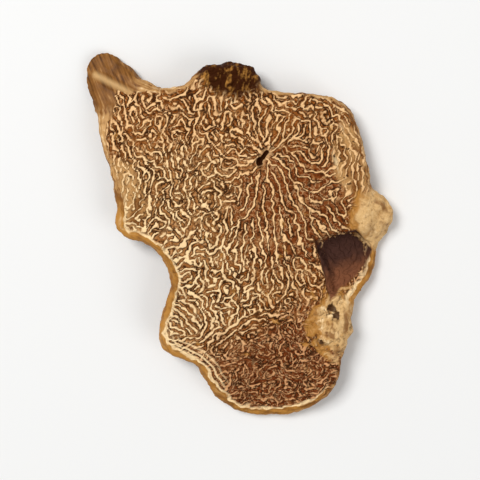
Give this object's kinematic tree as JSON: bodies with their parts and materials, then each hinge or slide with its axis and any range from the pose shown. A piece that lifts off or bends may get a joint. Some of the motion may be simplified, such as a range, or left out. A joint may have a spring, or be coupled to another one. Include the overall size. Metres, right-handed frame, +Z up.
{
  "type": "dried white truffle slice",
  "caption": "Curled slice of dried truffle, cut face up with pale veins on brown flesh, a skin rim, two skin knobs and an opened fold.",
  "frame": {"origin": "below the middle of the slice's box, on the surface that it rests on", "axes": "+Z up, out of the cut face; +Y along the slice's length, towards its broad upper edge with the horn; +X towards the two knobs"},
  "size_m": [0.0322, 0.0392, 0.0048],
  "materials": {
    "dried_flesh": "matte"
  },
  "bodies": {
    "root": {"truffle_slice": "dried_flesh"}
  },
  "joints": []
}
